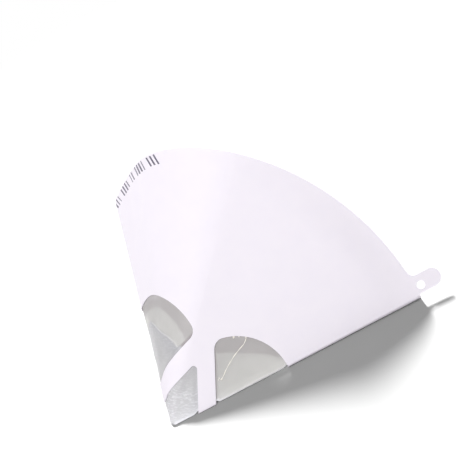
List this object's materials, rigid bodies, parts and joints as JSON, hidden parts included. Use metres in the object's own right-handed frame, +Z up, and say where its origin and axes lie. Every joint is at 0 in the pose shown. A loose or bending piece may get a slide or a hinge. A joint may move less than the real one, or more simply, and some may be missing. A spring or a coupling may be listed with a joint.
{
  "type": "paint strainer funnel",
  "caption": "Disposable paper cone for straining paint, opened and lying on its side, with mesh windows at its tip and a tab with a hole to hang it by.",
  "frame": {"origin": "centre of the bounding box's bottom, on the surface that the cone lies on", "axes": "+Z up, away from the flat wall that the cone lies on; +Y out of the mouth, along the middle of that wall; +X towards the seam fold and its hanging tab"},
  "size_m": [0.2018, 0.1486, 0.0731],
  "materials": {
    "paper": "smooth, uncoated",
    "nylon_mesh": "fine woven, translucent"
  },
  "bodies": {
    "root": {"paper_cone": "paper", "filter_mesh": "nylon_mesh"}
  },
  "joints": []
}
